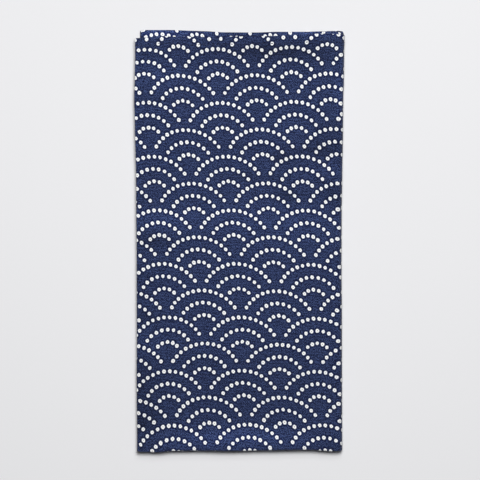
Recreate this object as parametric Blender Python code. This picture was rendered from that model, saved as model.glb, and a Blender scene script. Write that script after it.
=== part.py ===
"""A cotton furoshiki, folded flat for the drawer.

The cloth is folded in half from its lower end to its upper end, and then across twice, like a book.
That makes eight layers. The fold of the first step lies along the bottom, with the two hems at the top,
and the last fold of the book is on the right.

Metres, +Z up. The cloth lies on its back face at z = 0, with the hems towards +Y and the last fold
towards +X. The origin is under the middle of its box.
"""

import math

import bmesh
import bpy

MM = 0.001

# The folded cloth, seen from above
TOP_WIDTH = 126.2 * MM
BOTTOM_WIDTH = 123.6 * MM
BOTTOM_SHIFT = 0.4 * MM
FRONT_HEIGHT = 250.6 * MM

# The layers
PLY = 1.0 * MM
AIR = 0.3 * MM
PITCH = PLY + AIR
HEM_WIDTH = 5.0 * MM
HEM_STEP = 0.8 * MM
HEM_EXTRA = 0.07 * MM
BACK_HALF_SHORTER = 3.0 * MM

# The folds: the last fold is pressed, so it bulges less than a half circle would
LAST_FOLD_BULGE = 2.4 * MM
LAST_FOLD_SQUARENESS = 2.4
INNER_FOLD_INSET = 1.6 * MM
STRIP_INSET = 3.2 * MM
HIDDEN_EDGE_INSET = 1.5 * MM

# How finely the shape is divided
RUN_STEPS = 8
LAST_FOLD_STEPS = 12
INNER_FOLD_STEPS = 8
LOWER_FOLD_STEPS = 6
DEPTH_SHARES = (0.07, 0.16, 0.27, 0.39, 0.51, 0.63, 0.75, 0.86, 0.94)

# How far the hem line and the lower fold line rise above the front's two left corners, along the cloth
EDGE_COLUMNS = ("run", "share", "hem_rise_mm", "lower_fold_rise_mm")
EDGE_ROWS = (
    ("front", 0.00, 0.0, 0.0),
    ("front", 0.12, 1.2, 0.9),
    ("front", 0.25, 0.8, 1.8),
    ("front", 0.65, 1.1, 1.8),
    ("front", 0.88, 2.7, 1.1),
    ("front", 1.00, 2.2, 1.0),
    ("rear", 0.00, 3.8, 2.7),
    ("rear", 0.50, 3.0, 3.5),
    ("rear", 1.00, 4.6, 4.3),
    ("strip", 0.00, 4.8, 4.5),
    ("strip", 0.22, 4.4, 4.0),
    ("strip", 0.50, 3.4, 3.6),
    ("strip", 0.80, 4.0, 3.2),
    ("strip", 1.00, 4.2, 3.0),
    ("hidden", 0.00, 1.0, 2.4),
    ("hidden", 1.00, -0.8, 0.8),
)

# Where the stack stands a little higher or lower than even, as shares of its width and height
SWELL_COLUMNS = ("place", "across", "up", "reach_across", "reach_up", "height_mm")
SWELL_ROWS = (
    ("along the hems", 0.50, 0.97, 0.80, 0.05, 0.5),
    ("below the hems", 0.55, 0.88, 0.60, 0.05, -0.35),
    ("middle", 0.50, 0.48, 0.45, 0.16, 0.45),
    ("lower hollow", 0.45, 0.14, 0.50, 0.10, -0.4),
    ("lower fold", 0.55, 0.01, 0.35, 0.04, 0.4),
    ("last fold", 1.00, 0.45, 0.06, 0.50, 0.25),
)

INDIGO = (0.030, 0.045, 0.105, 1.0)


def rows_of(columns, rows):
    """A short table's rows as dictionaries."""
    return [dict(zip(columns, row)) for row in rows]


def eased(t):
    """A share that starts and ends gently."""
    return t * t * (3 - 2 * t)


def interpolated(knots, at):
    """The value at a place along knots, a rising list of (place, value)."""
    if at <= knots[0][0]:
        return knots[0][1]
    for (low, start), (high, end) in zip(knots, knots[1:]):
        if at <= high:
            return start + (end - start) * eased((at - low) / max(high - low, 1e-9))
    return knots[-1][1]


def run_points(name, start, end, height):
    """A straight run of the book fold at one height, as (run, x, z)."""
    return [
        (name, start + (end - start) * i / RUN_STEPS, height) for i in range(RUN_STEPS + 1)
    ]


def turn_points(centre_x, low, high, bulge, squareness, steps, downwards):
    """The points of a fold between two heights, without its two ends. A negative bulge points left."""
    middle = (low + high) / 2
    half = (high - low) / 2
    points = []
    for i in range(1, steps):
        angle = math.pi * i / steps
        side = abs(math.sin(angle)) ** (2 / squareness)
        rise = math.copysign(abs(math.cos(angle)) ** (2 / squareness), math.cos(angle))
        if not downwards:
            rise = -rise
        points.append((None, centre_x + bulge * side, middle + half * rise))
    return points


def book_path():
    """The route of the doubled cloth from its front free edge to its hidden one, as (run, x, z).

    The route lies midway between the two plies of the doubled cloth. Each of its four runs holds two
    layers, so the runs lie two pitches apart. In a fold between two runs, run is None.
    """
    reach = PITCH / 2 + PLY / 2
    front_z, hidden_z, strip_z, rear_z = (PLY / 2 + PITCH * k for k in (6.5, 4.5, 2.5, 0.5))
    last_x = TOP_WIDTH - reach - LAST_FOLD_BULGE
    strip_x = STRIP_INSET + reach + PITCH
    inner_x = TOP_WIDTH - reach - INNER_FOLD_INSET - reach - PITCH - AIR
    route = run_points("front", 0.0, last_x, front_z)
    route += turn_points(
        last_x, rear_z, front_z, LAST_FOLD_BULGE, LAST_FOLD_SQUARENESS, LAST_FOLD_STEPS, True
    )
    route += run_points("rear", last_x, strip_x, rear_z)
    route += turn_points(strip_x, rear_z, strip_z, -PITCH, 2, INNER_FOLD_STEPS, False)
    route += run_points("strip", strip_x, inner_x, strip_z)
    route += turn_points(inner_x, strip_z, hidden_z, PITCH, 2, INNER_FOLD_STEPS, False)
    route += run_points("hidden", inner_x, HIDDEN_EDGE_INSET, hidden_z)
    return route


def path_with_normals(route):
    """Each point of the route with its distance along it and the direction that faces the front ply."""
    stations = []
    along = 0.0
    for i, (run, x, z) in enumerate(route):
        if i:
            along += math.dist(route[i - 1][1:], (x, z))
        if run:
            # On a straight run the cloth is level, also where a fold begins
            step = (1.0, 0.0) if run in ("front", "strip") else (-1.0, 0.0)
        else:
            before, after = route[i - 1], route[i + 1]
            step = (after[1] - before[1], after[2] - before[2])
        length = math.hypot(*step)
        normal = (-step[1] / length, step[0] / length)
        stations.append({"run": run, "x": x, "z": z, "along": along, "normal": normal})
    return stations


def edge_lines(stations):
    """How far the hem and the lower fold rise at each place along the route."""
    ends = {}
    for station in stations:
        if station["run"]:
            low, high = ends.get(station["run"], (station["along"], station["along"]))
            ends[station["run"]] = (min(low, station["along"]), max(high, station["along"]))
    hem, fold = [], []
    for row in rows_of(EDGE_COLUMNS, EDGE_ROWS):
        low, high = ends[row["run"]]
        place = low + (high - low) * row["share"]
        hem.append((place, row["hem_rise_mm"] * MM))
        fold.append((place, row["lower_fold_rise_mm"] * MM))
    return hem, fold


def ply_profile():
    """The doubled cloth cut across its lower fold, from the front hem round the fold to the back hem.

    Each point has the ply it is on (1 front, -1 back, None in the fold), its share of the way down from
    the hem or its distance from it, and how far the two faces lie from the middle of the doubled cloth.
    """
    outer = PITCH / 2 + PLY / 2
    inner = PITCH / 2 - PLY / 2
    half = []
    for depth, extra in (
        (0.0, HEM_EXTRA),
        (HEM_WIDTH, HEM_EXTRA),
        (HEM_WIDTH + HEM_STEP, 0.0),
    ):
        half.append({"depth": depth, "share": 0.0, "outer": outer + extra, "inner": inner - extra})
    for share in DEPTH_SHARES:
        half.append({"depth": 0.0, "share": share, "outer": outer, "inner": inner})
    half.append({"depth": -outer, "share": 1.0, "outer": outer, "inner": inner})
    points = [dict(point, side=1) for point in half]
    for i in range(1, LOWER_FOLD_STEPS):
        angle = math.pi * i / LOWER_FOLD_STEPS
        points.append({"side": None, "angle": angle, "outer": outer, "inner": inner})
    points += [dict(point, side=-1) for point in reversed(half)]
    return points


def placed(station, point, face, hem, fold):
    """A point of the cloth as (x, y, z), with y counted from the front's lower left corner."""
    top = FRONT_HEIGHT + interpolated(hem, station["along"])
    bottom = interpolated(fold, station["along"])
    reach = point[face]
    if point["side"] is None:
        offset = reach * math.cos(point["angle"])
        y = bottom + PITCH / 2 + PLY / 2 - reach * math.sin(point["angle"])
    else:
        if point["side"] < 0:
            top -= BACK_HALF_SHORTER
        offset = point["side"] * reach
        y = top - point["depth"] - (top - bottom) * point["share"]
    x = station["x"] + offset * station["normal"][0]
    # The lowest hem is pressed level with the rest of the face that the cloth lies on
    z = max(station["z"] + offset * station["normal"][1], 0.0)
    return x, y, z


def squared_up(x, y):
    """x after the slight taper and lean of the folded cloth, which is narrower along its lower fold."""
    down = 1 - y / FRONT_HEIGHT
    width = TOP_WIDTH + (BOTTOM_WIDTH - TOP_WIDTH) * down
    return (x - TOP_WIDTH / 2) * width / TOP_WIDTH + BOTTOM_SHIFT * down


def swollen(x, y, z, stack):
    """z after the soft unevenness of the stack. The face that it lies on stays flat."""
    across = x / TOP_WIDTH + 0.5
    up = y / FRONT_HEIGHT
    extra = 0.0
    for row in rows_of(SWELL_COLUMNS, SWELL_ROWS):
        u = (across - row["across"]) / row["reach_across"]
        v = (up - row["up"]) / row["reach_up"]
        extra += row["height_mm"] * MM * math.exp(-(u * u + v * v) / 2)
    return z * (1 + extra / stack)


def cloth_points():
    """The grid of points: one row for each station of the route, each with its outer and inner faces."""
    stations = path_with_normals(book_path())
    hem, fold = edge_lines(stations)
    profile = ply_profile()
    stack = 7 * PITCH + PLY
    grid = []
    for station in stations:
        rows = []
        for face in ("outer", "inner"):
            row = []
            for point in profile:
                x, y, z = placed(station, point, face, hem, fold)
                x = squared_up(x, y)
                row.append((x, y, swollen(x, y, z, stack)))
            rows.append(row)
        grid.append(rows)
    return grid


def centred(grid):
    """The grid with its origin under the middle of its box."""
    points = [point for rows in grid for row in rows for point in row]
    low = [min(point[k] for point in points) for k in range(3)]
    high = [max(point[k] for point in points) for k in range(3)]
    shift = ((low[0] + high[0]) / 2, (low[1] + high[1]) / 2, low[2])
    return [
        [[tuple(point[k] - shift[k] for k in range(3)) for point in row] for row in rows]
        for rows in grid
    ]


def cloth_mesh(grid):
    """One closed skin over the grid: two faces, the hems' edges and the two selvedges."""
    bm = bmesh.new()
    verts = [[[bm.verts.new(point) for point in row] for row in rows] for rows in grid]
    last = len(verts) - 1
    edge = len(verts[0][0]) - 1
    for s in range(last):
        for i in range(edge):
            outer, inner = verts[s][0], verts[s][1]
            next_outer, next_inner = verts[s + 1][0], verts[s + 1][1]
            bm.faces.new((outer[i], outer[i + 1], next_outer[i + 1], next_outer[i]))
            bm.faces.new((inner[i], next_inner[i], next_inner[i + 1], inner[i + 1]))
        for i, turned in ((0, False), (edge, True)):
            rim = [verts[s][0][i], verts[s + 1][0][i], verts[s + 1][1][i], verts[s][1][i]]
            bm.faces.new(rim[::-1] if turned else rim)
    for s, turned in ((0, False), (last, True)):
        for i in range(edge):
            outer, inner = verts[s]
            cap = [outer[i], inner[i], inner[i + 1], outer[i + 1]]
            bm.faces.new(cap[::-1] if turned else cap)
    bmesh.ops.recalc_face_normals(bm, faces=bm.faces)
    mesh = bpy.data.meshes.new("cloth")
    bm.to_mesh(mesh)
    bm.free()
    mesh.shade_smooth()
    mesh.set_sharp_from_angle(angle=math.radians(40))
    return mesh


def indigo_cotton():
    """The cloth's material: matte cotton, dyed indigo."""
    material = bpy.data.materials.new("indigo_cotton")
    material.use_nodes = True
    shader = material.node_tree.nodes["Principled BSDF"]
    shader.inputs["Base Color"].default_value = INDIGO
    shader.inputs["Roughness"].default_value = 0.9
    shader.inputs["Metallic"].default_value = 0.0
    return material


def main():
    for obj in list(bpy.data.objects):
        bpy.data.objects.remove(obj)
    mesh = cloth_mesh(centred(cloth_points()))
    mesh.materials.append(indigo_cotton())
    cloth = bpy.data.objects.new("cloth", mesh)
    bpy.context.scene.collection.objects.link(cloth)


main()
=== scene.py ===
"""The looks of a cotton furoshiki, folded flat for the drawer.

The cloth is one thin sheet in the folds of its solid. A route carries the doubled cloth through its two
folds like a book's, and a profile crosses it from one sewn hem, round the lower fold, to the other hem.
The indigo ground, the waves of dots that a stencil left white, the weave and the stitches are here.

Metres, +Z up, seen from above: the hems are towards +Y and the last fold towards +X.
"""

import bisect
import math

import bpy
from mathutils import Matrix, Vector, noise


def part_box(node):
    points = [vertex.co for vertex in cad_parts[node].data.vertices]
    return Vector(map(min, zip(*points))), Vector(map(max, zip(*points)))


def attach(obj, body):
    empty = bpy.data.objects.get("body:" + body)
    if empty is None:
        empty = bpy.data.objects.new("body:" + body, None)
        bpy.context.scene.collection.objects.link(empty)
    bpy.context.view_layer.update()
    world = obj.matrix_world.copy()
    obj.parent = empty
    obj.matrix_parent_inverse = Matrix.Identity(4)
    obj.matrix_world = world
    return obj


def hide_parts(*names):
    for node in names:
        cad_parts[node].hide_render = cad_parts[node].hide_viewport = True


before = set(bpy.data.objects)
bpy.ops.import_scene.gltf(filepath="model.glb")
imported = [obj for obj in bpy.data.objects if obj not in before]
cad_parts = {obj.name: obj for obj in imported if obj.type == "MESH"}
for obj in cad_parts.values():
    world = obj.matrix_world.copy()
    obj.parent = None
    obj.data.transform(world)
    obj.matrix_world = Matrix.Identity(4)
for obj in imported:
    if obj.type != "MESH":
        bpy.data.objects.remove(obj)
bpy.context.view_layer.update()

MM = 0.001
CORNER, FAR_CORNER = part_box("cloth")

# The folded cloth, seen from above. The solid's highest hem is this far above the front's left corners
HIGHEST_HEM = 4.8 * MM
TOP_WIDTH = FAR_CORNER.x - CORNER.x
FRONT_HEIGHT = FAR_CORNER.y - CORNER.y - HIGHEST_HEM
BOTTOM_NARROWER = 2.6 * MM
BOTTOM_SHIFT = 0.4 * MM

# The layers: the cloth is thinner than its solid's, and its top and bottom layers lie where those do
EVEN_STACK = 10.1 * MM
LAYERS = 8
PLY = 0.7 * MM
PITCH = (EVEN_STACK - PLY) / (LAYERS - 1)
HALF_FOLD = PITCH / 2
BACK_HALF_SHORTER = 3.0 * MM

# A hem is the cloth's end turned in twice and pressed, so that three thinner layers lie in it
HEM_WIDTH = 5.0 * MM
HEM_PLY = 0.34 * MM
HEM_PITCH = 0.37 * MM
HEM_EASES_FROM = HEM_WIDTH + 0.2 * MM
HEM_EASE = 2.5 * MM
RAW_END_GAP = 0.3 * MM
HEM_FACE_POINTS = (1.2 * MM, 2.6 * MM)
SEAM_DEPTH = 4.4 * MM
SEAM_SUNK = 0.07 * MM
SEAM_GROOVE = ((-0.6 * MM, 0.3), (0.0, 1.0), (0.6 * MM, 0.3))
HEM_LIFT = HEM_PITCH + (HEM_PLY - PLY) / 2
LIFTED_TO = 8.0 * MM
LIFT_FADES = 7.0 * MM

# The folds. REACH is half the thickness of the doubled cloth in the solid. The last fold is pressed, so it
# bulges less than a half circle would
REACH = 1.15 * MM
SOLID_PITCH = 1.3 * MM
LAST_FOLD_BULGE = 2.4 * MM
LAST_FOLD_SQUARENESS = 2.4
ROUND_SQUARENESS = 2
INNER_FOLD_INSET = 0.9 * MM
STRIP_INSET = 2.9 * MM
HIDDEN_EDGE_INSET = 1.5 * MM
FOLD_GAP = 0.25 * MM

# How finely the sheet is divided
FRONT_STEP = 2.4 * MM
REAR_STEP = 4.5 * MM
STRIP_STEP = 3.0 * MM
HIDDEN_STEP = 6.0 * MM
BACK_STEP = 7.0 * MM
NEAR_EDGE = (0.3 * MM, 1.0 * MM)
LAST_FOLD_STEPS = 22
INNER_FOLD_STEPS = 10
LOWER_FOLD_STEPS = 10
TURN_STEPS = 5
EDGE_BEAD = 0.12 * MM

# How many millimetres the hem and the lower fold rise above the front's left corners, at shares of the
# length of each stretch of the route
HEM_RISES = {
    "front": (
        (0.00, 0.0), (0.02, 0.1), (0.13, 1.3), (0.19, 0.9), (0.34, 0.7), (0.47, 0.9), (0.54, 1.05),
        (0.67, 1.3), (0.82, 2.2), (0.93, 2.8), (1.00, 2.3),
    ),
    "last fold": ((0.50, 2.3), (0.68, 2.6), (0.84, 4.6)),
    "rear": ((0.00, 4.9), (0.08, 4.65), (0.20, 4.25), (0.50, 3.0), (1.00, 4.8)),
    "left fold": ((0.50, 5.1),),
    "strip": (
        (0.00, 5.2), (0.14, 5.2), (0.20, 4.95), (0.25, 4.7), (0.31, 4.5), (0.42, 3.8), (0.58, 3.7),
        (0.70, 4.1), (0.86, 4.1), (1.00, 4.3),
    ),
    "inner fold": ((0.40, 4.3),),
    "hidden": ((0.00, 1.0), (1.00, -0.8)),
}
LOWER_FOLD_RISES = {
    "front": (
        (0.00, 0.7), (0.05, 0.6), (0.10, 0.42), (0.18, 1.33), (0.30, 1.53), (0.46, 1.22),
        (0.62, 1.62), (0.87, 2.0), (0.93, 1.4), (0.97, 1.05), (1.00, 1.1),
    ),
    "last fold": ((0.50, 1.25),),
    "rear": ((0.00, 2.7), (0.50, 3.5), (1.00, 4.3)),
    "strip": ((0.00, 4.5), (0.50, 3.6), (1.00, 3.0)),
    "hidden": ((0.00, 2.4), (1.00, 0.8)),
}

# How far the two sides stand to the right of straight lines between their corners:
# (share of the height, left_mm, right_mm)
SIDE_ROWS = (
    (0.00, -0.1, 0.3),
    (0.05, 0.0, 0.2),
    (0.17, -0.1, 0.0),
    (0.30, 0.3, -0.2),
    (0.48, 0.5, -0.6),
    (0.58, 0.4, -0.6),
    (0.67, 0.4, -0.3),
    (0.78, -0.1, 0.05),
    (0.86, -0.4, 0.15),
    (0.90, 0.0, 0.5),
    (0.97, 0.4, 0.6),
    (1.00, 0.3, 0.5),
)

# Where the stack stands a little higher or lower than even, by shares of its width and height:
# (place, across, up, reach across, reach up, height_mm)
SWELL_ROWS = (
    ("along the hems", 0.50, 0.99, 0.80, 0.035, 0.35),
    ("right half of the hems", 0.72, 1.01, 0.22, 0.030, 0.55),
    ("below the hems", 0.55, 0.90, 0.60, 0.035, -0.30),
    ("middle", 0.50, 0.48, 0.45, 0.130, 0.50),
    ("lower hollow", 0.45, 0.12, 0.50, 0.080, -0.45),
    ("lower fold", 0.58, 0.00, 0.26, 0.025, 0.75),
    ("last fold", 1.00, 0.45, 0.06, 0.500, 0.25),
    ("lower left edge", 0.00, 0.20, 0.035, 0.200, -0.55),
    ("left corner below", 0.00, 0.00, 0.090, 0.040, -0.35),
    ("right corner below", 1.00, 0.00, 0.090, 0.040, -0.35),
)

# Soft creases of the top layers, by their ends from the front's lower left corner. A ridge is above 0:
# (place, x1_mm, y1_mm, x2_mm, y2_mm, width_mm, height_mm)
CREASE_ROWS = (
    ("across the middle", 4, 149, 122, 147, 3.6, -0.22),
    ("right, rising outwards", 92, 181, 124, 195, 5.5, 0.28),
    ("right, falling inwards", 54, 191, 94, 180, 3.4, 0.20),
    ("right, short", 80, 158, 100, 152, 3.2, 0.14),
    ("left, below the middle", 4, 131, 26, 126, 4.0, 0.16),
    ("left, lower", 3, 96, 14, 74, 4.2, -0.15),
    ("lower third", 30, 76, 96, 66, 7.0, 0.16),
    ("along the lower fold", 12, 17, 112, 15, 4.6, -0.20),
)
CREASE_END_SHARE = 0.35
RIPPLE_SIZE = 17.0 * MM
RIPPLE_HEIGHT = 0.10 * MM
SMALL_RIPPLE_FINER = 2.3
SMALL_RIPPLE_SHARE = 0.5
SMALL_RIPPLE_SHIFT = 0.1

# Painted light and shade: how many percent lighter or darker the cloth's colour is made near a place,
# standing in for the light and shade on its creases, dents, ridges and folds. From the front's lower
# left corner: (place, x_mm, y_mm, reach_x_mm, reach_y_mm, lighter_percent)
PAINTED_SHADING_ROWS = (
    ("second hem, left edge", 3.4, 252.5, 0.6, 2.4, -50),
    ("second hem, left", 14, 254, 13, 1.8, 115),
    ("second hem, left of the middle", 46, 254, 7, 1.8, 38),
    ("second hem, right", 108, 254, 16, 1.8, 66),
    ("along the front's hem, left", 30, 243, 30, 4.5, -6),
    ("along the front's hem, right", 86, 243, 26, 4.5, -42),
    ("below the hem, left", 12, 229, 12, 6, 14),
    ("ridge below the hem, left", 17, 226, 4, 4, 14),
    ("upper field", 64, 205, 56, 22, 7),
    ("upper right, by the last fold", 125, 219, 3, 11, 36),
    ("trough, upper left", 8, 213, 13, 2.5, -16),
    ("ridge, upper left", 8, 208, 12, 2.2, 12),
    ("second trough, upper left", 8, 201, 9, 2.2, -14),
    ("wedge, right above the middle", 117, 193, 7, 8, -24),
    ("wedge, lower part", 110, 183, 11, 4.0, -28),
    ("wedge, inner end", 88, 179, 4.5, 2.8, -34),
    ("trough into the wedge", 66, 185, 20, 2.2, -15),
    ("trough below the wedge", 74, 167, 18, 2.2, -18),
    ("ridge below the wedge", 119, 171, 8, 3, 20),
    ("dent, right", 92, 156, 4, 3.2, -36),
    ("dent by the last fold", 121, 156, 6, 6, -24),
    ("dent, left", 8, 152, 7, 3, -14),
    ("across the middle", 60, 142, 75, 6.5, 15),
    ("across the middle, inner", 64, 147, 28, 4.5, 6),
    ("across the middle, left", 14, 141, 13, 3.5, 24),
    ("left, below the middle", 8, 128, 12, 3.0, -34),
    ("right, below the middle", 105, 131, 20, 6, 12),
    ("left edge, middle", 2, 102, 6, 9, -16),
    ("left edge, dent", 4, 82, 8, 3.5, -28),
    ("left edge, ridge", 11, 65, 5, 4, 22),
    ("lower third", 64, 40, 90, 22, -12),
    ("left edge, lower", 3, 43, 8, 12, -22),
    ("left edge, by the lower fold", 3, 15, 8, 10, -38),
    ("above the lower fold", 50, 9, 46, 3.8, 32),
    ("above the lower fold, middle", 66, 10.5, 16, 3.8, 36),
    ("lower right corner", 120, 3, 10, 4, -14),
)

# The stencil's print, in millimetres: waves of three arcs of dots, in staggered rows. The arcs are
# (radius, degrees from dot to dot, dots)
PERIOD = 45.0
ROW_PITCH = 16.29
ARC_CENTRE_BELOW_TOP = 22.35
ARC_ROWS = ((22.5, 8.8, 14), (15.0, 13.6, 9), (7.5, 24.5, 5))
DOT_RADIUS = 1.07
DOT_TALLER = 1.09
DOT_WANDER = 0.18
DOT_SIZE_SPREAD = 0.14
ROW_SEED, COLUMN_SEED = 3.7, 5.3
DOTS_BEGIN_ABOVE_ROW = 1.6

# Where the print lies: the top of one wave, from the front's lower left corner, and how it is skewed
WAVE_X = 75.8 * MM
WAVE_Y = 195.8 * MM
LEAN = 0.0986
UPRIGHT_FROM, UPRIGHT_TO = 120.2 * MM, 146.7 * MM
WIDENING = 0.00169
EVEN_ROW = 4.5
LAST_SKEWED_ROWS = (-5.0, 12.0)

# How far the print has drifted near a place, with the reach of the drift, from the same corner:
# (place, along_mm, up_mm, reach_along_mm, reach_up_mm, right_mm, down_mm)
DRIFT_ROWS = (
    ("upper half", 60, 190, 90, 70, 0.0, 0.35),
    ("left selvedge", 2, 125, 6, 300, 0.0, 0.35),
    ("above, left of the middle", 38, 225, 14, 45, 0.0, 0.5),
    ("under the left of the hem", 18, 245, 7, 20, 0.0, -0.75),
    ("top left corner", 1, 247, 7, 9, -0.2, 0.9),
    ("upper right", 114, 240, 20, 22, 0.0, -1.3),
    ("lower left of the middle", 42, 52, 24, 34, 0.0, -0.75),
    ("right, below the middle", 120, 100, 22, 36, 0.0, 0.75),
    ("lower right of the middle", 86, 28, 18, 16, 0.0, -0.6),
    ("lower left", 5, 30, 10, 24, 0.0, 0.8),
    ("above", 60, 203, 200, 17, -0.5, 0.0),
    ("middle", 60, 125, 200, 55, 0.2, 0.0),
    ("below", 60, 38, 200, 12, -0.5, 0.0),
    ("top right corner", 122, 248, 16, 6, 1.0, 0.0),
    ("lower left corner", 4, 8, 7, 7, -0.8, 0.3),
    ("lower left, by the fold", 13, 3, 8, 4, -0.5, 1.2),
    ("lower fold, left", 28, 6, 14, 9, -0.3, 0.6),
    ("lower fold, inner arc on the left", 23, 1.5, 4, 2.2, 0.0, -0.75),
    ("hem", 75, 252.5, 34, 3.2, 0.7, 0.0),
    ("hem, right", 113, 253, 9, 3.0, 1.1, 0.0),
    ("second hem, left", 264, 250, 13, 30, 0.0, -0.6),
    ("second hem, left end", 258, 250, 7, 30, -0.8, 0.0),
    ("second hem, left corner", 256, 256, 3, 4, 2.2, -0.1),
    ("second hem, left of the middle", 290, 250, 12, 30, 0.2, 0.5),
    ("rear, by the last fold", 134, 256, 4, 5, 1.8, 0.0),
)

# Along the rear the print shifts, until it lies on the strip as the photo shows it there
STRIP_SHIFT_X, STRIP_SHIFT_Y = 5.85 * MM, 4.05 * MM
SHIFT_BETWEEN = (135.0 * MM, 250.0 * MM)
MEAN_HEM_RISE = 1.2 * MM

# Dye and thread, in linear colour
DEEP_INDIGO = (0.0004, 0.0026, 0.0220)
PALE_INDIGO = (0.0765, 0.1180, 0.2990)
GATHERED_INDIGO = (0.0016, 0.0068, 0.0530)
UNDYED = (0.95, 0.95, 0.935)
DOT_EDGE = (0.65, 0.75, 0.96)
DOT_MIDDLE = (0.41, 0.38, 0.355)
THREAD = (0.018, 0.026, 0.072)
COTTON_FINISH = {"Specular IOR Level": 0.18, "Sheen Weight": 0.06, "Sheen Roughness": 0.6}

# The weave. Scales are in features a millimetre, and spreads are of how pale the yarn is
YARN_MM = 0.36
YARN_WANDER = 0.35
YARN_WANDER_SCALE = 0.9
YARN_SPREAD = 0.15
YARNS_APART = 7.7
WARP_SEED, WEFT_SEED = 3.0, 9.0
FLOAT_SPREAD = 2.3
FLOAT_ARCH = 0.4
SLUB = 0.35
RIB_MM = 1.79
RIB_SLANT = 0.064
RIB_WANDER = 1.6
RIB_WANDER_SCALE = 0.22
RIB_SPREAD = 0.21

# The dye: its tones in clouds and in mottling, the painted shade in the weave's hollows and painted light
# on the yarns' tops, and how pale a float is where it is wholly deep and wholly pale. Most of a noise's
# values lie in its range
NOISE_RANGE = (0.3, 0.7)
CLOUDS_SCALE, MOTTLING_SCALE = 0.022, 0.16
DYE_TONES = (0.97, 1.03)
WEAVE_SHADING = (0.55, 1.27)
DEEP_AND_PALE = (-0.3, 1.3)
WRONG_SIDE_WHITE = 0.55

# The dots, by how many millimetres outside one a place lies: the soft and frayed edge, the dye gathered
# round it, the bluish edge and the greyish middle
SOFT_EDGE = 0.14
FRAY, FRAY_SCALE, FRAY_BY_FLOATS = 0.10, 1.6, 0.08
GATHERED_WITHIN = (0.60, 0.92)
BLUISH_FROM = (-0.25, 0.05)
GREYISH_WITHIN = (-1.05, -0.6)
# How far the dots' white follows the creases' painted light and shade, and the floats' paleness
WHITE_FOLLOWS_PAINTED_SHADING, WHITE_BY_FLOATS = 0.25, 0.05
WHITEST = 1.1

# How rough and how uneven the cotton and its thread are
COTTON_ROUGHNESS, THREAD_ROUGHNESS = (0.80, 0.95), (0.75, 0.92)
COTTON_BUMP, THREAD_BUMP = (0.6, 0.06 * MM), (0.5, 0.04 * MM)
FLOATS_STAND_OUT = 0.4
TWIST_MM = 0.45
# The thread's twist is painted lighter on its ridges and darker in its grooves, as painted light and shade
TWIST_SHADING, FIBRE_TONES = (0.8, 1.1), (-0.15, 0.15)

# The stitches of the hems
STITCH_PITCH = 2.7 * MM
STITCH_LENGTH = 2.1 * MM
STITCH_RADIUS = 0.19 * MM
STITCH_TAPER = 0.45
STITCH_STANDS = 0.55
STITCH_DIVES = 1.5
STITCH_RINGS = 5
STITCH_SIDES = 6
SEAM_WANDER_STEP = 0.37


def clamped(value, low, high):
    return min(max(value, low), high)


def eased(t):
    """A share that starts and ends gently."""
    t = clamped(t, 0.0, 1.0)
    return t * t * (3 - 2 * t)


def interpolated(knots, at, ease=eased):
    """The value at a place along knots, a rising list of (place, value)."""
    if at <= knots[0][0]:
        return knots[0][1]
    for (low, start), (high, end) in zip(knots, knots[1:]):
        if at <= high:
            return start + (end - start) * ease((at - low) / max(high - low, 1e-9))
    return knots[-1][1]


def straight(t):
    """A share as it is."""
    return t


# The route of the doubled cloth


def run_points(name, start, end, height, step, fine_start=False, fine_end=False):
    """A straight run at one height, as (stretch, x, z), with closer points beside a selvedge."""
    way = math.copysign(1.0, end - start)
    length = abs(end - start)
    steps = max(2, round(length / step))
    places = [length * i / steps for i in range(steps + 1)]
    if fine_start:
        places[1:1] = NEAR_EDGE
    if fine_end:
        places[-1:-1] = [length - near for near in reversed(NEAR_EDGE)]
    return [(name, start + way * place, height) for place in places]


def turn_points(name, centre_x, low, high, bulge, squareness, steps, downwards=False):
    """The points of a fold between two heights, without its two ends. A negative bulge points left."""
    middle, half = (low + high) / 2, (high - low) / 2
    points = []
    for i in range(1, steps):
        angle = math.pi * i / steps
        side = abs(math.sin(angle)) ** (2 / squareness)
        rise = math.copysign(abs(math.cos(angle)) ** (2 / squareness), math.cos(angle))
        if not downwards:
            rise = -rise
        points.append((name, centre_x + bulge * side, middle + half * rise))
    return points


def book_route():
    """The middle of the doubled cloth as (stretch, x, z), from its front free edge to its hidden one."""
    # Each is halfway between two of the stack's eight layers
    front_z, hidden_z, strip_z, rear_z = (PLY / 2 + PITCH * k for k in (6.5, 4.5, 2.5, 0.5))
    last_x = TOP_WIDTH - REACH - LAST_FOLD_BULGE
    strip_x = STRIP_INSET + REACH + SOLID_PITCH
    inner_x = TOP_WIDTH - REACH - INNER_FOLD_INSET - REACH - SOLID_PITCH - FOLD_GAP
    route = run_points("front", 0.0, last_x, front_z, FRONT_STEP, fine_start=True)
    last_fold = (LAST_FOLD_BULGE, LAST_FOLD_SQUARENESS, LAST_FOLD_STEPS)
    route += turn_points("last fold", last_x, rear_z, front_z, *last_fold, downwards=True)
    route += run_points("rear", last_x, strip_x, rear_z, REAR_STEP)
    inner_fold = (ROUND_SQUARENESS, INNER_FOLD_STEPS)
    route += turn_points("left fold", strip_x, rear_z, strip_z, -SOLID_PITCH, *inner_fold)
    route += run_points("strip", strip_x, inner_x, strip_z, STRIP_STEP)
    route += turn_points("inner fold", inner_x, strip_z, hidden_z, SOLID_PITCH, *inner_fold)
    route += run_points("hidden", inner_x, HIDDEN_EDGE_INSET, hidden_z, HIDDEN_STEP, fine_end=True)
    return route


def stations_of(route):
    """Each point of the route with its distance along it and the direction that faces the front ply."""
    stations = []
    along = 0.0
    for i, (stretch, x, z) in enumerate(route):
        if i:
            along += math.dist(route[i - 1][1:], (x, z))
        if stretch.endswith("fold"):
            before, after = route[i - 1], route[i + 1]
            step = (after[1] - before[1], after[2] - before[2])
        else:
            step = (1.0, 0.0) if stretch in ("front", "strip") else (-1.0, 0.0)
        length = math.hypot(*step)
        normal = (-step[1] / length, step[0] / length)
        stations.append({"stretch": stretch, "x": x, "z": z, "along": along, "normal": normal})
    return stations


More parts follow.
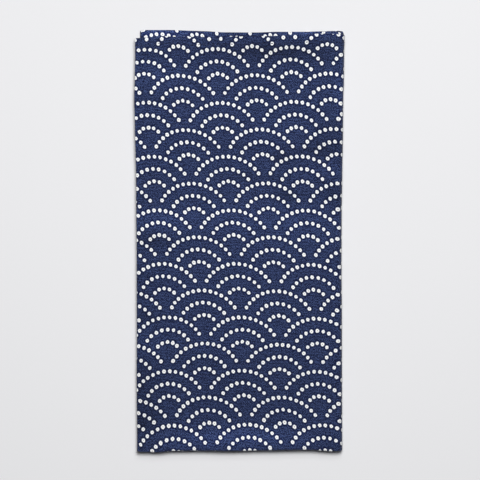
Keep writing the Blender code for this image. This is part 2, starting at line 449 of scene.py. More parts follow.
def stretch_ends(stations):
    """Where each stretch begins and ends along the route."""
    ends = {}
    for station in stations:
        low, _ = ends.get(station["stretch"], (station["along"], None))
        ends[station["stretch"]] = (low, station["along"])
    return ends


def rise_line(ends, rises):
    """How far one of the cloth's long lines rises, as knots along the route."""
    line = []
    for stretch, knots in rises.items():
        low, high = ends[stretch]
        line += [(low + (high - low) * share, rise * MM) for share, rise in knots]
    return line


# The profile across the cloth


def arc(centre, radius, start, end, steps):
    """Points of a turn as (down, out), without its ends. Angles are in degrees from down towards out."""
    points = []
    for i in range(1, steps):
        angle = math.radians(start + (end - start) * i / steps)
        points.append((centre[0] + radius * math.cos(angle), centre[1] + radius * math.sin(angle)))
    return points


def hem_line():
    """The middle of the cloth through a hem, from its raw edge out to the single cloth, as (down, out).

    down is the distance below the hem's edge, and out is towards the printed side. The raw end lies
    between the other two layers of the hem.
    """
    low_turn = HEM_WIDTH - HEM_PITCH / 2
    inside = [(HEM_PITCH + RAW_END_GAP, 0.0), (HEM_WIDTH / 2, 0.0), (low_turn, 0.0)]
    inside += arc((low_turn, -HEM_PITCH / 2), HEM_PITCH / 2, 90, -90, TURN_STEPS)
    inside += [(low_turn, -HEM_PITCH), (HEM_WIDTH / 2, -HEM_PITCH), (HEM_PITCH, -HEM_PITCH)]
    inside += arc((HEM_PITCH, 0.0), HEM_PITCH, 270, 90, TURN_STEPS + 2)
    face = [(down, HEM_PITCH) for down in (HEM_PITCH, *HEM_FACE_POINTS)]
    for away, sunk in SEAM_GROOVE:
        face.append((SEAM_DEPTH + away, HEM_PITCH - SEAM_SUNK * sunk))
    for share in (0.2, 0.4, 0.6, 0.8, 1.0):
        face.append((HEM_EASES_FROM + HEM_EASE * share, HEM_PITCH * (1 - eased(share))))
    return inside, face


def half_profile(step):
    """One ply from its raw edge to where the lower fold begins, with the facing of each point."""
    inside, face = hem_line()
    line = inside + face
    thickens = ((HEM_WIDTH, HEM_PLY), (HEM_EASES_FROM + HEM_EASE, PLY))
    points = []
    for i, (down, out) in enumerate(line):
        before, after = line[max(i - 1, 0)], line[min(i + 1, len(line) - 1)]
        run = (after[0] - before[0], after[1] - before[1])
        length = math.hypot(*run)
        thick = HEM_PLY if i < len(inside) else interpolated(thickens, down)
        facing = (-run[1] / length, run[0] / length)
        points.append({"down": down, "share": 0.0, "out": out, "facing": facing, "half": thick / 2})
    points[len(inside)]["anchor"] = True
    start = line[-1][0]
    steps = round((FRONT_HEIGHT - start) / step)
    for i in range(1, steps + 1):
        share = i / steps
        down = start * (1 - share)
        points.append({"down": down, "share": share, "out": 0.0, "facing": (0.0, 1.0), "half": PLY / 2})
    return points


def full_profile():
    """The doubled cloth cut across its lower fold, from the front ply's raw edge to the back ply's."""
    points = [dict(point, ply=1) for point in half_profile(FRONT_STEP)]
    for i in range(1, LOWER_FOLD_STEPS):
        points.append({"ply": 0, "angle": math.pi * i / LOWER_FOLD_STEPS, "half": PLY / 2})
    points += [dict(point, ply=-1) for point in reversed(half_profile(BACK_STEP))]
    return points


def on_profile(point, top, bottom):
    """A point of the profile and its facing, both as (offset from the doubled cloth's middle, y)."""
    fold_y = bottom + HALF_FOLD + PLY / 2
    if point["ply"] == 0:
        cosine, sine = math.cos(point["angle"]), math.sin(point["angle"])
        return (HALF_FOLD * cosine, fold_y - HALF_FOLD * sine), (cosine, -sine)
    if point["ply"] < 0:
        top -= BACK_HALF_SHORTER
    down = point["down"] + (top - fold_y) * point["share"]
    facing = (point["ply"] * point["facing"][1], -point["facing"][0])
    return (point["ply"] * (HALF_FOLD + point["out"]), top - down), facing


# The cloth's shape


def squared_up(x, y):
    """x after the slight taper and lean of the folded cloth, and the waves of its two sides."""
    up, across = y / FRONT_HEIGHT, x / TOP_WIDTH
    width = TOP_WIDTH - BOTTOM_NARROWER * (1 - up)
    left = interpolated([(place, side * MM) for place, side, _ in SIDE_ROWS], up)
    right = interpolated([(place, side * MM) for place, _, side in SIDE_ROWS], up)
    waved = left + (right - left) * across
    return (across - 0.5) * width + TOP_WIDTH / 2 + BOTTOM_SHIFT * (1 - up) + waved


def crease_height(crease, x, y):
    """The height that one crease gives at a place. It fades out across its width and at its ends."""
    _, x1, y1, x2, y2, width, height = crease
    start = Vector((x1, y1)) * MM
    way = Vector((x2, y2)) * MM - start
    share = clamped((Vector((x, y)) - start).dot(way) / way.length_squared, 0.0, 1.0)
    aside = (Vector((x, y)) - (start + way * share)).length / (width * MM)
    fade = CREASE_END_SHARE + (1 - CREASE_END_SHARE) * math.sin(math.pi * share)
    return height * MM * fade * math.exp(-aside * aside / 2)


def hill(x, y, middle_x, middle_y, reach_x, reach_y):
    """A soft hill that is 1 in its middle and fades out all round."""
    u, v = (x - middle_x) / reach_x, (y - middle_y) / reach_y
    return math.exp(-(u * u + v * v) / 2)


def relief(x, y):
    """How much higher than even the top of the stack is at a place."""
    across, up = x / TOP_WIDTH, y / FRONT_HEIGHT
    height = 0.0
    for _, *place, swell in SWELL_ROWS:
        height += swell * MM * hill(across, up, *place)
    for crease in CREASE_ROWS:
        height += crease_height(crease, x, y)
    ripple = noise.noise(Vector((x, y, 0.0)) / RIPPLE_SIZE)
    small_at = Vector((x + SMALL_RIPPLE_SHIFT, y, 0.0)) / RIPPLE_SIZE * SMALL_RIPPLE_FINER
    return height + RIPPLE_HEIGHT * (ripple + SMALL_RIPPLE_SHARE * noise.noise(small_at))


def lifted(y):
    """How far the hems' thickness lifts the cloth over the surface that it lies on."""
    return HEM_LIFT * (1 - eased((FRONT_HEIGHT - LIFTED_TO - y) / LIFT_FADES))


def paler(x, y):
    """How many times lighter than even the cloth is painted at a place: painted light and shade of its
    creases, dents and folds.
    """
    return 1 + sum(percent / 100 * hill(x / MM, y / MM, *place) for _, *place, percent in PAINTED_SHADING_ROWS)


def print_place(along, x_shift, down):
    """Where a point of the cloth lies on the stencil's print, as (across, down) in millimetres."""
    up = FRONT_HEIGHT - down
    for _, *place, right, lower in DRIFT_ROWS:
        share = hill(along / MM, up / MM, *place)
        x_shift -= right * MM * share
        down -= lower * MM * share
    shifted = interpolated(((SHIFT_BETWEEN[0], 0.0), (SHIFT_BETWEEN[1], 1.0)), along)
    down += STRIP_SHIFT_Y * shifted
    down -= FRONT_HEIGHT - WAVE_Y
    across = along + x_shift - WAVE_X + STRIP_SHIFT_X * shifted
    across -= LEAN * (down - clamped(down - UPRIGHT_FROM, 0.0, UPRIGHT_TO - UPRIGHT_FROM))
    row = clamped(down / MM / ROW_PITCH, *LAST_SKEWED_ROWS)
    return across / MM / (1 + WIDENING * (row - EVEN_ROW)), down / MM


def surface_place(station, middle, facing, away):
    """The folded cloth's surface at a distance from the middle of the ply, as (x, y, z)."""
    offset = middle[0] + away * facing[0]
    y = middle[1] + away * facing[1]
    x = squared_up(station["x"] + offset * station["normal"][0], y)
    z = station["z"] + offset * station["normal"][1] + lifted(y)
    return x, y, max(z, 0.0) * (1 + relief(x, y) / EVEN_STACK)


def cloth_grid(stations, ends, profile):
    """For each station of the route, each point of the profile on both faces of the cloth.

    Each point has its place, where it lies on the cloth and where it lies on the print.
    """
    hem, fold = rise_line(ends, HEM_RISES), rise_line(ends, LOWER_FOLD_RISES)
    front_end = ends["front"][1]
    anchor = next(i for i, point in enumerate(profile) if "anchor" in point)
    grid = []
    for station in stations:
        along = station["along"]
        rise = interpolated(hem, along)
        top, bottom = FRONT_HEIGHT + rise, interpolated(fold, along)
        places = [on_profile(point, top, bottom) for point in profile]
        # The print follows the front's straight lines, and elsewhere it follows the hem
        follows = eased((along - front_end) / (ends["rear"][0] - front_end))
        line = FRONT_HEIGHT + follows * (rise - MEAN_HEM_RISE)
        downs = [0.0]
        for (before, _), (after, _) in zip(places, places[1:]):
            downs.append(downs[-1] + math.dist(before, after))
        start = line - places[anchor][0][1] - downs[anchor]
        rows = {"outer": [], "inner": []}
        for point, (middle, facing), down in zip(profile, places, downs):
            for face, way in (("outer", 1), ("inner", -1)):
                x, y, z = surface_place(station, middle, facing, way * point["half"])
                side = min(along, front_end)
                on_print = print_place(along, squared_up(side, y) - side, start + down)
                row = {"place": CORNER + Vector((x, y, z)), "along": along, "down": down}
                row["cloth"] = (along / MM, down / MM, 1.0 if face == "outer" else 0.0)
                row["print"] = (*on_print, 0.0)
                # How much lighter or darker the point is painted: painted light and shade of the creases
                row["paler"] = paler(x, y)
                rows[face].append(row)
        grid.append(rows)
    return grid


# The cloth's mesh


# The square map: an island for each face of the cloth, with rims beside it
OUTER_ISLAND = (0.006, 0.840)
INNER_ISLAND = (0.850, 0.992)
ISLAND_HEIGHT = (0.006, 0.994)
RIM_WIDTH = 0.002

# The share of an island that lies before a place on the route, and above a place on the front ply
MAP_LAST_FOLD, MAP_REAR, MAP_STRIP = 0.55, 0.85, 0.94
MAP_HEM, MAP_FRONT = 0.02, 0.87


def bake_axes(ends, grid):
    """How the cloth's two directions lie on a square map, as knots. The front face gets most of it."""
    across = (
        (0.0, 0.0),
        ((ends["front"][1] + ends["rear"][0]) / 2, MAP_LAST_FOLD),
        (ends["rear"][1], MAP_REAR),
        (ends["strip"][1], MAP_STRIP),
        (ends["hidden"][1], 1.0),
    )
    down = (
        (0.0, 0.0),
        (2 * HEM_WIDTH, MAP_HEM),
        (2 * HEM_WIDTH + FRONT_HEIGHT, MAP_FRONT),
        (grid[0]["outer"][-1]["down"], 1.0),
    )
    return across, down


def on_map(axes, row, face):
    """Where a grid point lies on the square map."""
    low, high = OUTER_ISLAND if face == "outer" else INNER_ISLAND
    x = low + (high - low) * interpolated(axes[0], row["along"], straight)
    bottom, top = ISLAND_HEIGHT
    return x, top - (top - bottom) * interpolated(axes[1], row["down"], straight)


class Skin:
    """The points and faces of a mesh while they are put together."""

    def __init__(self):
        self.points = []
        self.faces = []

    def add(self, row, place=None):
        self.points.append(dict(row, place=row["place"] if place is None else place))
        return len(self.points) - 1

    def face(self, corners, spots, turned=False):
        way = -1 if turned else 1
        self.faces.append((corners[::way], spots[::way]))


def bead_points(skin, rows, neighbour):
    """Points halfway between the two faces at a selvedge, a little outside it."""
    beads = []
    for outer, inner, near in zip(rows["outer"], rows["inner"], neighbour["outer"]):
        away = outer["place"] - near["place"]
        away.normalize()
        middle = (outer["place"] + inner["place"]) / 2 + away * EDGE_BEAD
        beads.append(skin.add(outer, middle))
    return beads


def close_selvedge(skin, outer, inner, beads, spots, way, turned):
    """The rounded edge between the two faces at one end of the route."""
    last = len(outer) - 1
    for i in range(last):
        for near, far, shift in ((outer, beads, 1), (beads, inner, 2)):
            corners = [near[i], far[i], far[i + 1], near[i + 1]]
            x0, x1 = (spots[i][0] + way * RIM_WIDTH * (shift + k) for k in (0, 1))
            y0, y1 = spots[i][1], spots[i + 1][1]
            skin.face(corners, [(x0, y0), (x1, y0), (x1, y1), (x0, y1)], turned)
    for i, end_turned in ((0, not turned), (last, turned)):
        x, y = spots[i]
        places = [(x, y), (x + way * RIM_WIDTH, y + RIM_WIDTH), (x + 2 * way * RIM_WIDTH, y)]
        skin.face([outer[i], beads[i], inner[i]], places, end_turned)


def cloth_skin(grid, axes):
    """One closed skin over the grid: the two faces, the raw edges in the hems and the two selvedges."""
    skin = Skin()
    points, spots = {}, {}
    for face in ("outer", "inner"):
        points[face] = [[skin.add(row) for row in rows[face]] for rows in grid]
        spots[face] = [[on_map(axes, row, face) for row in rows[face]] for rows in grid]
    outer, inner, outer_map = points["outer"], points["inner"], spots["outer"]
    last, edge = len(grid) - 1, len(outer[0]) - 1
    for s in range(last):
        for i in range(edge):
            ring = ((s, i), (s, i + 1), (s + 1, i + 1), (s + 1, i))
            for face in ("outer", "inner"):
                corners = [points[face][a][b] for a, b in ring]
                skin.face(corners, [spots[face][a][b] for a, b in ring], face == "inner")
        for i, turned, way in ((0, False, 1), (edge, True, -1)):
            corners = [outer[s][i], outer[s + 1][i], inner[s + 1][i], inner[s][i]]
            (x0, y), (x1, _) = outer_map[s][i], outer_map[s + 1][i]
            near = y + way * RIM_WIDTH
            far = near + way * RIM_WIDTH
            skin.face(corners, [(x0, near), (x1, near), (x1, far), (x0, far)], turned)
    for s, near, turned, way in ((0, 1, False, -1), (last, last - 1, True, 1)):
        beads = bead_points(skin, grid[s], grid[near])
        close_selvedge(skin, outer[s], inner[s], beads, outer_map[s], way, turned)
    return skin


def mesh_object(name, points, faces):
    """A smooth mesh object at the origin."""
    mesh = bpy.data.meshes.new(name)
    mesh.from_pydata(points, [], faces)
    mesh.shade_smooth()
    piece = bpy.data.objects.new(name, mesh)
    bpy.context.scene.collection.objects.link(piece)
    return piece


def cloth_piece(grid, axes):
    """The cloth's object, with its place on the cloth, on the print and on the square map."""
    skin = cloth_skin(grid, axes)
    places, faces = [row["place"] for row in skin.points], [corners for corners, _ in skin.faces]
    piece = mesh_object("furoshiki_cloth", places, faces)
    for name, key in (("cloth_place", "cloth"), ("print_place", "print")):
        attribute = piece.data.attributes.new(name, "FLOAT_VECTOR", "POINT")
        attribute.data.foreach_set("vector", [n for row in skin.points for n in row[key]])
    # The painted light and shade of the creases, dents and folds, a number at each point
    attribute = piece.data.attributes.new("paler", "FLOAT", "POINT")
    attribute.data.foreach_set("value", [row["paler"] for row in skin.points])
    layer = piece.data.uv_layers.new(name="OFBake")
    layer.uv.foreach_set("vector", [n for _, spots in skin.faces for spot in spots for n in spot])
    return piece


# The hems' stitches


def hem_seam(grid, profile, ply):
    """The line that a hem's stitches follow on the cloth's printed face, as (point, facing)."""
    on_hem = [i for i, point in enumerate(profile) if point["ply"] == ply and point["share"] == 0]
    seam = next(i for i in on_hem if profile[i]["out"] > 0 and profile[i]["down"] == SEAM_DEPTH)
    line = []
    for rows in grid:
        outer, inner = rows["outer"][seam]["place"], rows["inner"][seam]["place"]
        line.append((outer, (outer - inner).normalized()))
    return line


def seam_walk(line):
    """The seam's length, and a function that gives the point and the facing at a distance along it."""
    reached = [0.0]
    for (start, _), (end, _) in zip(line, line[1:]):
        reached.append(reached[-1] + (end - start).length)

    def at(distance):
        i = min(bisect.bisect_right(reached, distance), len(line) - 1)
        share = (distance - reached[i - 1]) / (reached[i] - reached[i - 1])
        (start, start_facing), (end, end_facing) = line[i - 1], line[i]
        return start.lerp(end, share), start_facing.lerp(end_facing, share).normalized()

    return reached[-1], at


def add_stitch(at, middle, aside, points, faces):
    """Adds one stitch: a short round of thread whose two ends dive into the cloth."""
    first = len(points)
    for ring in range(STITCH_RINGS):
        share = 2 * ring / (STITCH_RINGS - 1) - 1
        distance = middle + share * STITCH_LENGTH / 2
        place, facing = at(distance)
        ahead, _ = at(distance + STITCH_RADIUS)
        across = facing.cross(ahead - place).normalized()
        radius = STITCH_RADIUS * (1 - STITCH_TAPER * share**4)
        rise = STITCH_STANDS - STITCH_DIVES * share**4
        centre = place + across * aside + facing * STITCH_RADIUS * rise
        for side in range(STITCH_SIDES):
            angle = 2 * math.pi * side / STITCH_SIDES
            point = centre + radius * (math.cos(angle) * across + math.sin(angle) * facing)
            # The lowest hem's stitches are pressed into the cloth by the floor
            point.z = max(point.z, 0.0)
            points.append(point)
    for ring in range(STITCH_RINGS - 1):
        for side in range(STITCH_SIDES):
            a = first + ring * STITCH_SIDES + side
            b = first + ring * STITCH_SIDES + (side + 1) % STITCH_SIDES
            faces.append((a, b, b + STITCH_SIDES, a + STITCH_SIDES))
    faces.append(tuple(first + side for side in reversed(range(STITCH_SIDES))))
    last = first + (STITCH_RINGS - 1) * STITCH_SIDES
    faces.append(tuple(last + side for side in range(STITCH_SIDES)))


def stitch_piece(grid, profile):
    """The running stitches of both hems, as one object."""
    points, faces = [], []
    for ply in (1, -1):
        length, at = seam_walk(hem_seam(grid, profile, ply))
        for i in range(int(length / STITCH_PITCH)):
            # A sewn line wanders by less than a thread's width
            aside = STITCH_RADIUS * noise.noise(Vector((i * SEAM_WANDER_STEP, ply * 3.0, 0.5)))
            add_stitch(at, (i + 0.5) * STITCH_PITCH, aside, points, faces)
    return mesh_object("hem_stitches", points, faces)


# Materials


class Net:
    """A node tree with short ways to add nodes. An input may be a socket or a plain value."""

    def __init__(self, tree):
        self.tree = tree

    def feed(self, socket, value):
        if isinstance(value, bpy.types.NodeSocket):
            self.tree.links.new(value, socket)
        else:
            socket.default_value = value

    def add(self, kind, inputs=(), output=0, **settings):
        """An output of a new node. Its inputs are given in their order, or by name or number."""
        node = self.tree.nodes.new(kind)
        for name, value in settings.items():
            setattr(node, name, value)
        for key, value in inputs.items() if isinstance(inputs, dict) else enumerate(inputs):
            self.feed(node.inputs[key], value)
        return node.outputs[output]

    def attribute(self, name, output="Vector"):
        return self.add("ShaderNodeAttribute", output=output, attribute_name=name)

    def maths(self, operation, *inputs):
        return self.add("ShaderNodeMath", inputs, operation=operation)

    def vector(self, operation, *inputs):
        output = "Value" if operation == "LENGTH" else "Vector"
        return self.add("ShaderNodeVectorMath", inputs, output, operation=operation)

    def scaled(self, vector, factor):
        return self.add("ShaderNodeVectorMath", {"Vector": vector, "Scale": factor}, operation="SCALE")

    def split(self, vector):
        return self.add("ShaderNodeSeparateXYZ", (vector,)).node.outputs

    def join(self, x, y, z=0.0):
        return self.add("ShaderNodeCombineXYZ", (x, y, z))

    def noise(self, place, scale, detail=2.0, roughness=0.5, output="Fac"):
        """Noise from 0 to 1, with its scale in features a unit of the place."""
        inputs = {"Vector": place, "Scale": scale, "Detail": detail, "Roughness": roughness}
        return self.add("ShaderNodeTexNoise", inputs, output, noise_dimensions="3D")

    def chance(self, place, output="Value"):
        """A random value from 0 to 1 that belongs to a place."""
        return self.add("ShaderNodeTexWhiteNoise", {"Vector": place}, output, noise_dimensions="3D")

    def ranged(self, value, low, high, to_low=0.0, to_high=1.0, smooth=True):
        """A value carried from one range to another, and held within it."""
        kind = "SMOOTHSTEP" if smooth else "LINEAR"
        inputs = {"Value": value, "From Min": low, "From Max": high, "To Min": to_low, "To Max": to_high}
        return self.add("ShaderNodeMapRange", inputs, interpolation_type=kind)

    def mixed(self, share, a, b):
        """A colour between two colours."""
        return self.add("ShaderNodeMix", {0: share, 6: a, 7: b}, 2, data_type="RGBA")

    def bump(self, strength, distance, height):
        inputs = {"Strength": strength, "Distance": distance, "Height": height}
        return self.add("ShaderNodeBump", inputs)


def group(name, inputs):
    """The net of a new node group with one number as its output, and its own two ends."""
    tree = bpy.data.node_groups.new(name, "ShaderNodeTree")
    for label, kind in inputs.items():
        tree.interface.new_socket(label, in_out="INPUT", socket_type=kind)
    tree.interface.new_socket("Outside", in_out="OUTPUT", socket_type="NodeSocketFloat")
    given = tree.nodes.new("NodeGroupInput").outputs
    wanted = tree.nodes.new("NodeGroupOutput").inputs[0]
    return Net(tree), given, wanted


def arc_group():
    """How far a place lies outside the nearest dot of one arc of dots, in millimetres.

    Place is from the arc's centre, with y downwards. Dots stand at (whole number + Half) steps.
    """
    inputs = {name: "NodeSocketVector" for name in ("Place", "Wave")}
    inputs.update({name: "NodeSocketFloat" for name in ("Radius", "Step", "Half", "First", "Last")})
    net, given, wanted = group("arc_of_dots", inputs)
    x, y, _ = net.split(given["Place"])
    turn = net.maths("DIVIDE", net.maths("ARCTAN2", x, net.maths("MULTIPLY", y, -1.0)), given["Step"])
    number = net.maths("ROUND", net.maths("SUBTRACT", turn, given["Half"]))
    number = net.maths("MAXIMUM", net.maths("MINIMUM", number, given["Last"]), given["First"])
    angle = net.maths("MULTIPLY", net.maths("ADD", number, given["Half"]), given["Step"])
    dot_x = net.maths("MULTIPLY", net.maths("SINE", angle), given["Radius"])
    upwards = net.maths("MULTIPLY", given["Radius"], -1.0)
    dot_y = net.maths("MULTIPLY", net.maths("COSINE", angle), upwards)
    seed = net.vector("ADD", given["Wave"], net.join(number, given["Radius"]))
    chance = net.vector("SUBTRACT", net.chance(seed, "Color"), (0.5, 0.5, 0.5))
    wander = net.vector("MULTIPLY", chance, (DOT_WANDER, DOT_WANDER, 0.0))
    dot = net.vector("ADD", net.join(dot_x, dot_y), wander)
    from_dot = net.vector("SUBTRACT", given["Place"], dot)
    reach = net.vector("LENGTH", net.vector("MULTIPLY", from_dot, (1.0, 1 / DOT_TALLER, 0.0)))
    size = net.maths("MULTIPLY_ADD", net.split(chance)[2], DOT_SIZE_SPREAD, DOT_RADIUS)
    net.feed(wanted, net.maths("SUBTRACT", reach, size))
    return net.tree


def waves_group():
    """How far a place on the print lies outside the nearest dot of the waves, in millimetres."""
    arc_tree = arc_group()
    net, given, wanted = group("dotted_waves", {"Print": "NodeSocketVector"})
    across, down, _ = net.split(given["Print"])
    begun = net.maths("DIVIDE", net.maths("ADD", down, DOTS_BEGIN_ABOVE_ROW), ROW_PITCH)
    top_row = net.maths("FLOOR", begun)
    outside = None
    # A wave is a little taller than its row, so the row above may reach down to a place too
    for row in (top_row, net.maths("SUBTRACT", top_row, 1.0)):
        stagger = net.maths("MULTIPLY", net.maths("FLOORED_MODULO", row, 2.0), 0.5)
        column = net.maths("SUBTRACT", net.maths("DIVIDE", across, PERIOD), stagger)
        column = net.maths("ADD", net.maths("ROUND", column), stagger)
        centre = net.join(
            net.maths("MULTIPLY", column, PERIOD),
            net.maths("MULTIPLY_ADD", row, ROW_PITCH, ARC_CENTRE_BELOW_TOP),
        )
        place = net.vector("SUBTRACT", given["Print"], centre)
        seeds = net.maths("MULTIPLY", row, ROW_SEED), net.maths("MULTIPLY", column, COLUMN_SEED)
        wave = net.join(0.0, *seeds)
        for radius, step, dots in ARC_ROWS:
            # An odd number of dots has one at the top of the arc
            half = 0.0 if dots % 2 else 0.5
            first, last = -(dots // 2), (dots - 1) // 2
            values = (place, wave, radius, math.radians(step), half, first, last)
            found = net.add("ShaderNodeGroup", values, node_tree=arc_tree)
            outside = found if outside is None else net.maths("MINIMUM", outside, found)
    net.feed(wanted, outside)
    return net.tree


def weave(net, place):
    """A plain weave: its height from 0 to 1, and how pale each float of yarn is, about 0 on average."""
    wobble = net.noise(place, YARN_WANDER_SCALE, 1.0, output="Color")
    wobble = net.vector("SUBTRACT", wobble, (0.5, 0.5, 0.5))
    place = net.vector("MULTIPLY_ADD", wobble, (YARN_WANDER, YARN_WANDER, 0.0), place)
    yarns = net.scaled(place, 1 / YARN_MM)
    across, down, _ = net.split(yarns)
    arches = [net.maths("SINE", net.maths("MULTIPLY", way, math.pi)) for way in (across, down)]
    arches = [net.maths("ABSOLUTE", arch) for arch in arches]

    # A yarn differs from its neighbour, and slowly changes along its length
    float_place = net.vector("FLOOR", yarns)
    column, row, _ = net.split(float_place)
    apart = [net.maths("MULTIPLY", number, YARNS_APART) for number in (column, row)]
    warp = net.noise(net.join(apart[0], net.maths("MULTIPLY", down, SLUB), WARP_SEED), 1.0)
    weft = net.noise(net.join(net.maths("MULTIPLY", across, SLUB), apart[1], WEFT_SEED), 1.0)
    over = net.maths("FLOORED_MODULO", net.maths("ADD", column, row), 2.0)
    yarn = net.maths("MULTIPLY_ADD", net.maths("SUBTRACT", weft, warp), over, warp)

    # A float is round across its yarn and arched along it
    round_warp, round_weft = (
        net.maths("MULTIPLY", own, net.maths("MULTIPLY_ADD", other, FLOAT_ARCH, 1 - FLOAT_ARCH))
        for own, other in (arches, reversed(arches))
    )
    height = net.maths("MULTIPLY_ADD", net.maths("SUBTRACT", round_weft, round_warp), over, round_warp)
    yarn = net.ranged(yarn, *NOISE_RANGE, -YARN_SPREAD, YARN_SPREAD, smooth=False)

    # Paler and deeper floats lie side by side more than they clump
    steps = ((0, 0, 0), (1, 0, 0), (-1, 0, 0), (0, 1, 0), (0, -1, 0))
    own, *others = [net.chance(net.vector("ADD", float_place, step)) for step in steps]
    for other in others:
        own = net.maths("MULTIPLY_ADD", other, -1 / len(others), own)
    paleness = net.maths("MULTIPLY_ADD", own, FLOAT_SPREAD, yarn)

    # The weft lies in faint ribs, which wander
    rib = net.maths("MULTIPLY_ADD", across, -RIB_SLANT, down)
    wander = net.maths("MULTIPLY", net.noise(place, RIB_WANDER_SCALE, 1.0), RIB_WANDER)
    rib = net.maths("MULTIPLY_ADD", rib, YARN_MM / RIB_MM, wander)
    rib = net.maths("SINE", net.maths("MULTIPLY", rib, 2 * math.pi))
    return height, net.maths("MULTIPLY_ADD", rib, RIB_SPREAD, paleness)


def new_material(name, finish):
    """A new material, its net, and its shader with what is the same all over the surface."""
    material = bpy.data.materials.new(name)
    material.use_nodes = True
    shader = material.node_tree.nodes["Principled BSDF"]
    for label, value in finish.items():
        shader.inputs[label].default_value = value
    return material, Net(material.node_tree), shader


def cover(net, shader, colour, rough, bump):
    """Links the shader to what changes over the surface."""
    for label, socket in (("Base Color", colour), ("Roughness", rough), ("Normal", bump)):
        net.feed(shader.inputs[label], socket)


def dyed_ground(net, place, height, paleness, outside, paler):
    """The indigo, which is cloudy and mottled and deep round the dots, with painted shade in the weave's
    hollows, painted light on the yarns' tops, and the painted light and shade of the creases.
    """
    clouds = net.ranged(net.noise(place, CLOUDS_SCALE, 3.0, 0.6), *NOISE_RANGE, *DYE_TONES)
    mottling = net.ranged(net.noise(place, MOTTLING_SCALE, 4.0, 0.6), *NOISE_RANGE, *DYE_TONES)
    # Painted shade in the weave's hollows and painted light on the yarns' tops
    weave_light_and_shade = net.ranged(height, 0.0, 1.0, *WEAVE_SHADING, smooth=False)
    tone = net.maths("MULTIPLY", net.maths("MULTIPLY", clouds, mottling), weave_light_and_shade)
    # The creases' painted light and shade
    tone = net.maths("MULTIPLY", tone, paler)
    dyed = net.mixed(net.ranged(paleness, *DEEP_AND_PALE), (*DEEP_INDIGO, 1.0), (*PALE_INDIGO, 1.0))
    gathered = net.ranged(outside, *GATHERED_WITHIN, 1.0, 0.0)
    return net.scaled(net.mixed(gathered, dyed, (*GATHERED_INDIGO, 1.0)), tone)


def bare_dots(net, paleness, outside, paler):
    """The dots' white, bluish at the edge and greyish in the middle. The painted light and shade of the
    creases shows less in it.
    """
    bare = net.mixed(net.ranged(outside, *BLUISH_FROM), (*UNDYED, 1.0), (*DOT_EDGE, 1.0))
    bare = net.mixed(net.ranged(outside, *GREYISH_WITHIN, 1.0, 0.0), bare, (*DOT_MIDDLE, 1.0))
    # The creases' painted light and shade, weaker on the white
    tone = net.maths("POWER", paler, WHITE_FOLLOWS_PAINTED_SHADING)
    tone = net.maths("MULTIPLY_ADD", paleness, WHITE_BY_FLOATS, tone)
    return net.scaled(bare, net.maths("MINIMUM", tone, WHITEST))


def cotton():
    """Indigo cotton with the dots that a stencil's paste kept white, fainter on its wrong side."""
    material, net, shader = new_material("indigo_cotton", COTTON_FINISH)
    place, on_print = net.attribute("cloth_place"), net.attribute("print_place")
    # How much lighter or darker the cloth is painted, as painted light and shade of its creases
    paler = net.attribute("paler", "Fac")
    height, paleness = weave(net, place)

    # The dots' edges follow the threads
    waves = net.add("ShaderNodeGroup", (on_print,), node_tree=waves_group())
    frayed = net.ranged(net.noise(place, FRAY_SCALE, 2.0), *NOISE_RANGE, -FRAY, FRAY, smooth=False)
    outside = net.maths("ADD", waves, net.maths("MULTIPLY_ADD", paleness, -FRAY_BY_FLOATS, frayed))
    white = net.ranged(outside, -SOFT_EDGE, SOFT_EDGE, 1.0, 0.0)
    right_side = net.split(place)[2]
    strength = net.ranged(right_side, 0.0, 1.0, WRONG_SIDE_WHITE, 1.0, smooth=False)

    dyed = dyed_ground(net, place, height, paleness, outside, paler)
    bare = bare_dots(net, paleness, outside, paler)
    colour = net.mixed(net.maths("MULTIPLY", white, strength), dyed, bare)
    rough = net.ranged(paleness, -0.8, 0.8, *COTTON_ROUGHNESS, smooth=False)
    bump = net.bump(*COTTON_BUMP, net.maths("MULTIPLY_ADD", paleness, FLOATS_STAND_OUT, height))
    cover(net, shader, colour, rough, bump)
    return material


def thread():
    """The hems' sewing thread: twisted cotton, dyed as the cloth is, with painted light and shade on its
    twist.
    """
    material, net, shader = new_material("sewing_thread", COTTON_FINISH)
    place = net.scaled(net.add("ShaderNodeTexCoord", output="Object"), 1 / MM)
    x, y, _ = net.split(place)
    twist = net.maths("SINE", net.maths("MULTIPLY", net.maths("ADD", x, y), 2 * math.pi / TWIST_MM))
    fibre = net.noise(place, 3.0, 3.0, 0.6)
    # Painted light on the twist's ridges and painted shade in its grooves
    tone = net.ranged(twist, -1.0, 1.0, *TWIST_SHADING)
    tone = net.maths("ADD", tone, net.ranged(fibre, *NOISE_RANGE, *FIBRE_TONES))
    rough = net.ranged(fibre, *NOISE_RANGE, *THREAD_ROUGHNESS)
    cover(net, shader, net.scaled(THREAD, tone), rough, net.bump(*THREAD_BUMP, twist))
    return material


# The stage: floor, light and camera

FLOOR_SIDE = 8.0
FLOOR_FINISH = {"Base Color": (0.80, 0.80, 0.815, 1.0), "Roughness": 0.7, "Specular IOR Level": 0.2}

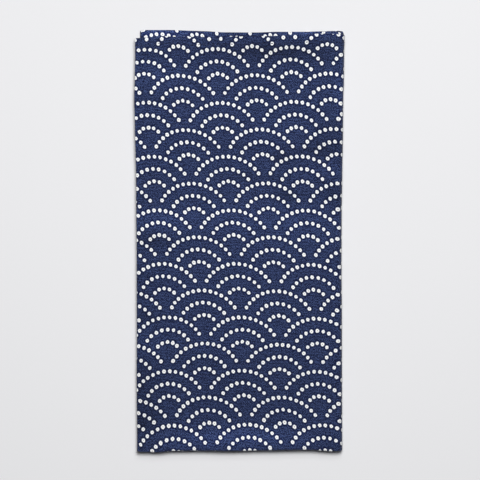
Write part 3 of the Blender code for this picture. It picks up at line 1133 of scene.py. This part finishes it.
# The lamps: (name, place, size, watts)
LIGHT_ROWS = (
    ("softbox", Vector((0.04, 0.216, 1.40)), (0.304, 0.352), 14.4),
    ("window", Vector((0.10, 0.70, 1.90)), (0.75, 1.10), 13.6),
)
ROOM_COLOUR = (0.98, 0.99, 1.0, 1.0)
ROOM_STRENGTH = 0.05
SEEN_WIDTH = 290 * MM
SEEN_CENTRE = Vector((0.5, 1.1, 10.0)) * MM
LENS_MM = 300.0
SENSOR_MM = 36.0


def floor():
    """A plain pale floor at the cloth's underside."""
    side = FLOOR_SIDE / 2
    corners = [(x * side, y * side, 0.0) for x, y in ((-1, -1), (1, -1), (1, 1), (-1, 1))]
    piece = mesh_object("floor", corners, [(0, 1, 2, 3)])
    material, *_ = new_material("pale_floor", FLOOR_FINISH)
    piece.data.materials.append(material)


def light():
    """A softbox almost overhead, a window beyond the hems, and a dim room."""
    for name, place, size, power in LIGHT_ROWS:
        lamp = bpy.data.lights.new(name, "AREA")
        lamp.shape = "RECTANGLE"
        lamp.size, lamp.size_y = size
        lamp.energy = power
        source = bpy.data.objects.new(name, lamp)
        source.location = place
        source.visible_camera = False
        bpy.context.scene.collection.objects.link(source)
    world = bpy.data.worlds.new("room")
    world.use_nodes = True
    background = world.node_tree.nodes["Background"]
    background.inputs["Color"].default_value = ROOM_COLOUR
    background.inputs["Strength"].default_value = ROOM_STRENGTH
    bpy.context.scene.world = world


def camera():
    """Straight above the cloth, with the hems at the top of the picture."""
    lens = bpy.data.cameras.new("camera")
    lens.lens = LENS_MM
    lens.sensor_width = SENSOR_MM
    seen_from = bpy.data.objects.new("camera", lens)
    seen_from.location = SEEN_CENTRE + Vector((0.0, 0.0, SEEN_WIDTH * LENS_MM / SENSOR_MM))
    bpy.context.scene.collection.objects.link(seen_from)
    bpy.context.scene.camera = seen_from
    bpy.context.scene.view_settings.view_transform = "Standard"


def main():
    stations = stations_of(book_route())
    ends = stretch_ends(stations)
    profile = full_profile()
    grid = cloth_grid(stations, ends, profile)
    cloth = cloth_piece(grid, bake_axes(ends, grid))
    cloth.data.materials.append(cotton())
    stitches = stitch_piece(grid, profile)
    stitches.data.materials.append(thread())
    for piece in (cloth, stitches):
        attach(piece, "root")
    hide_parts("cloth")
    floor()
    light()
    camera()


main()
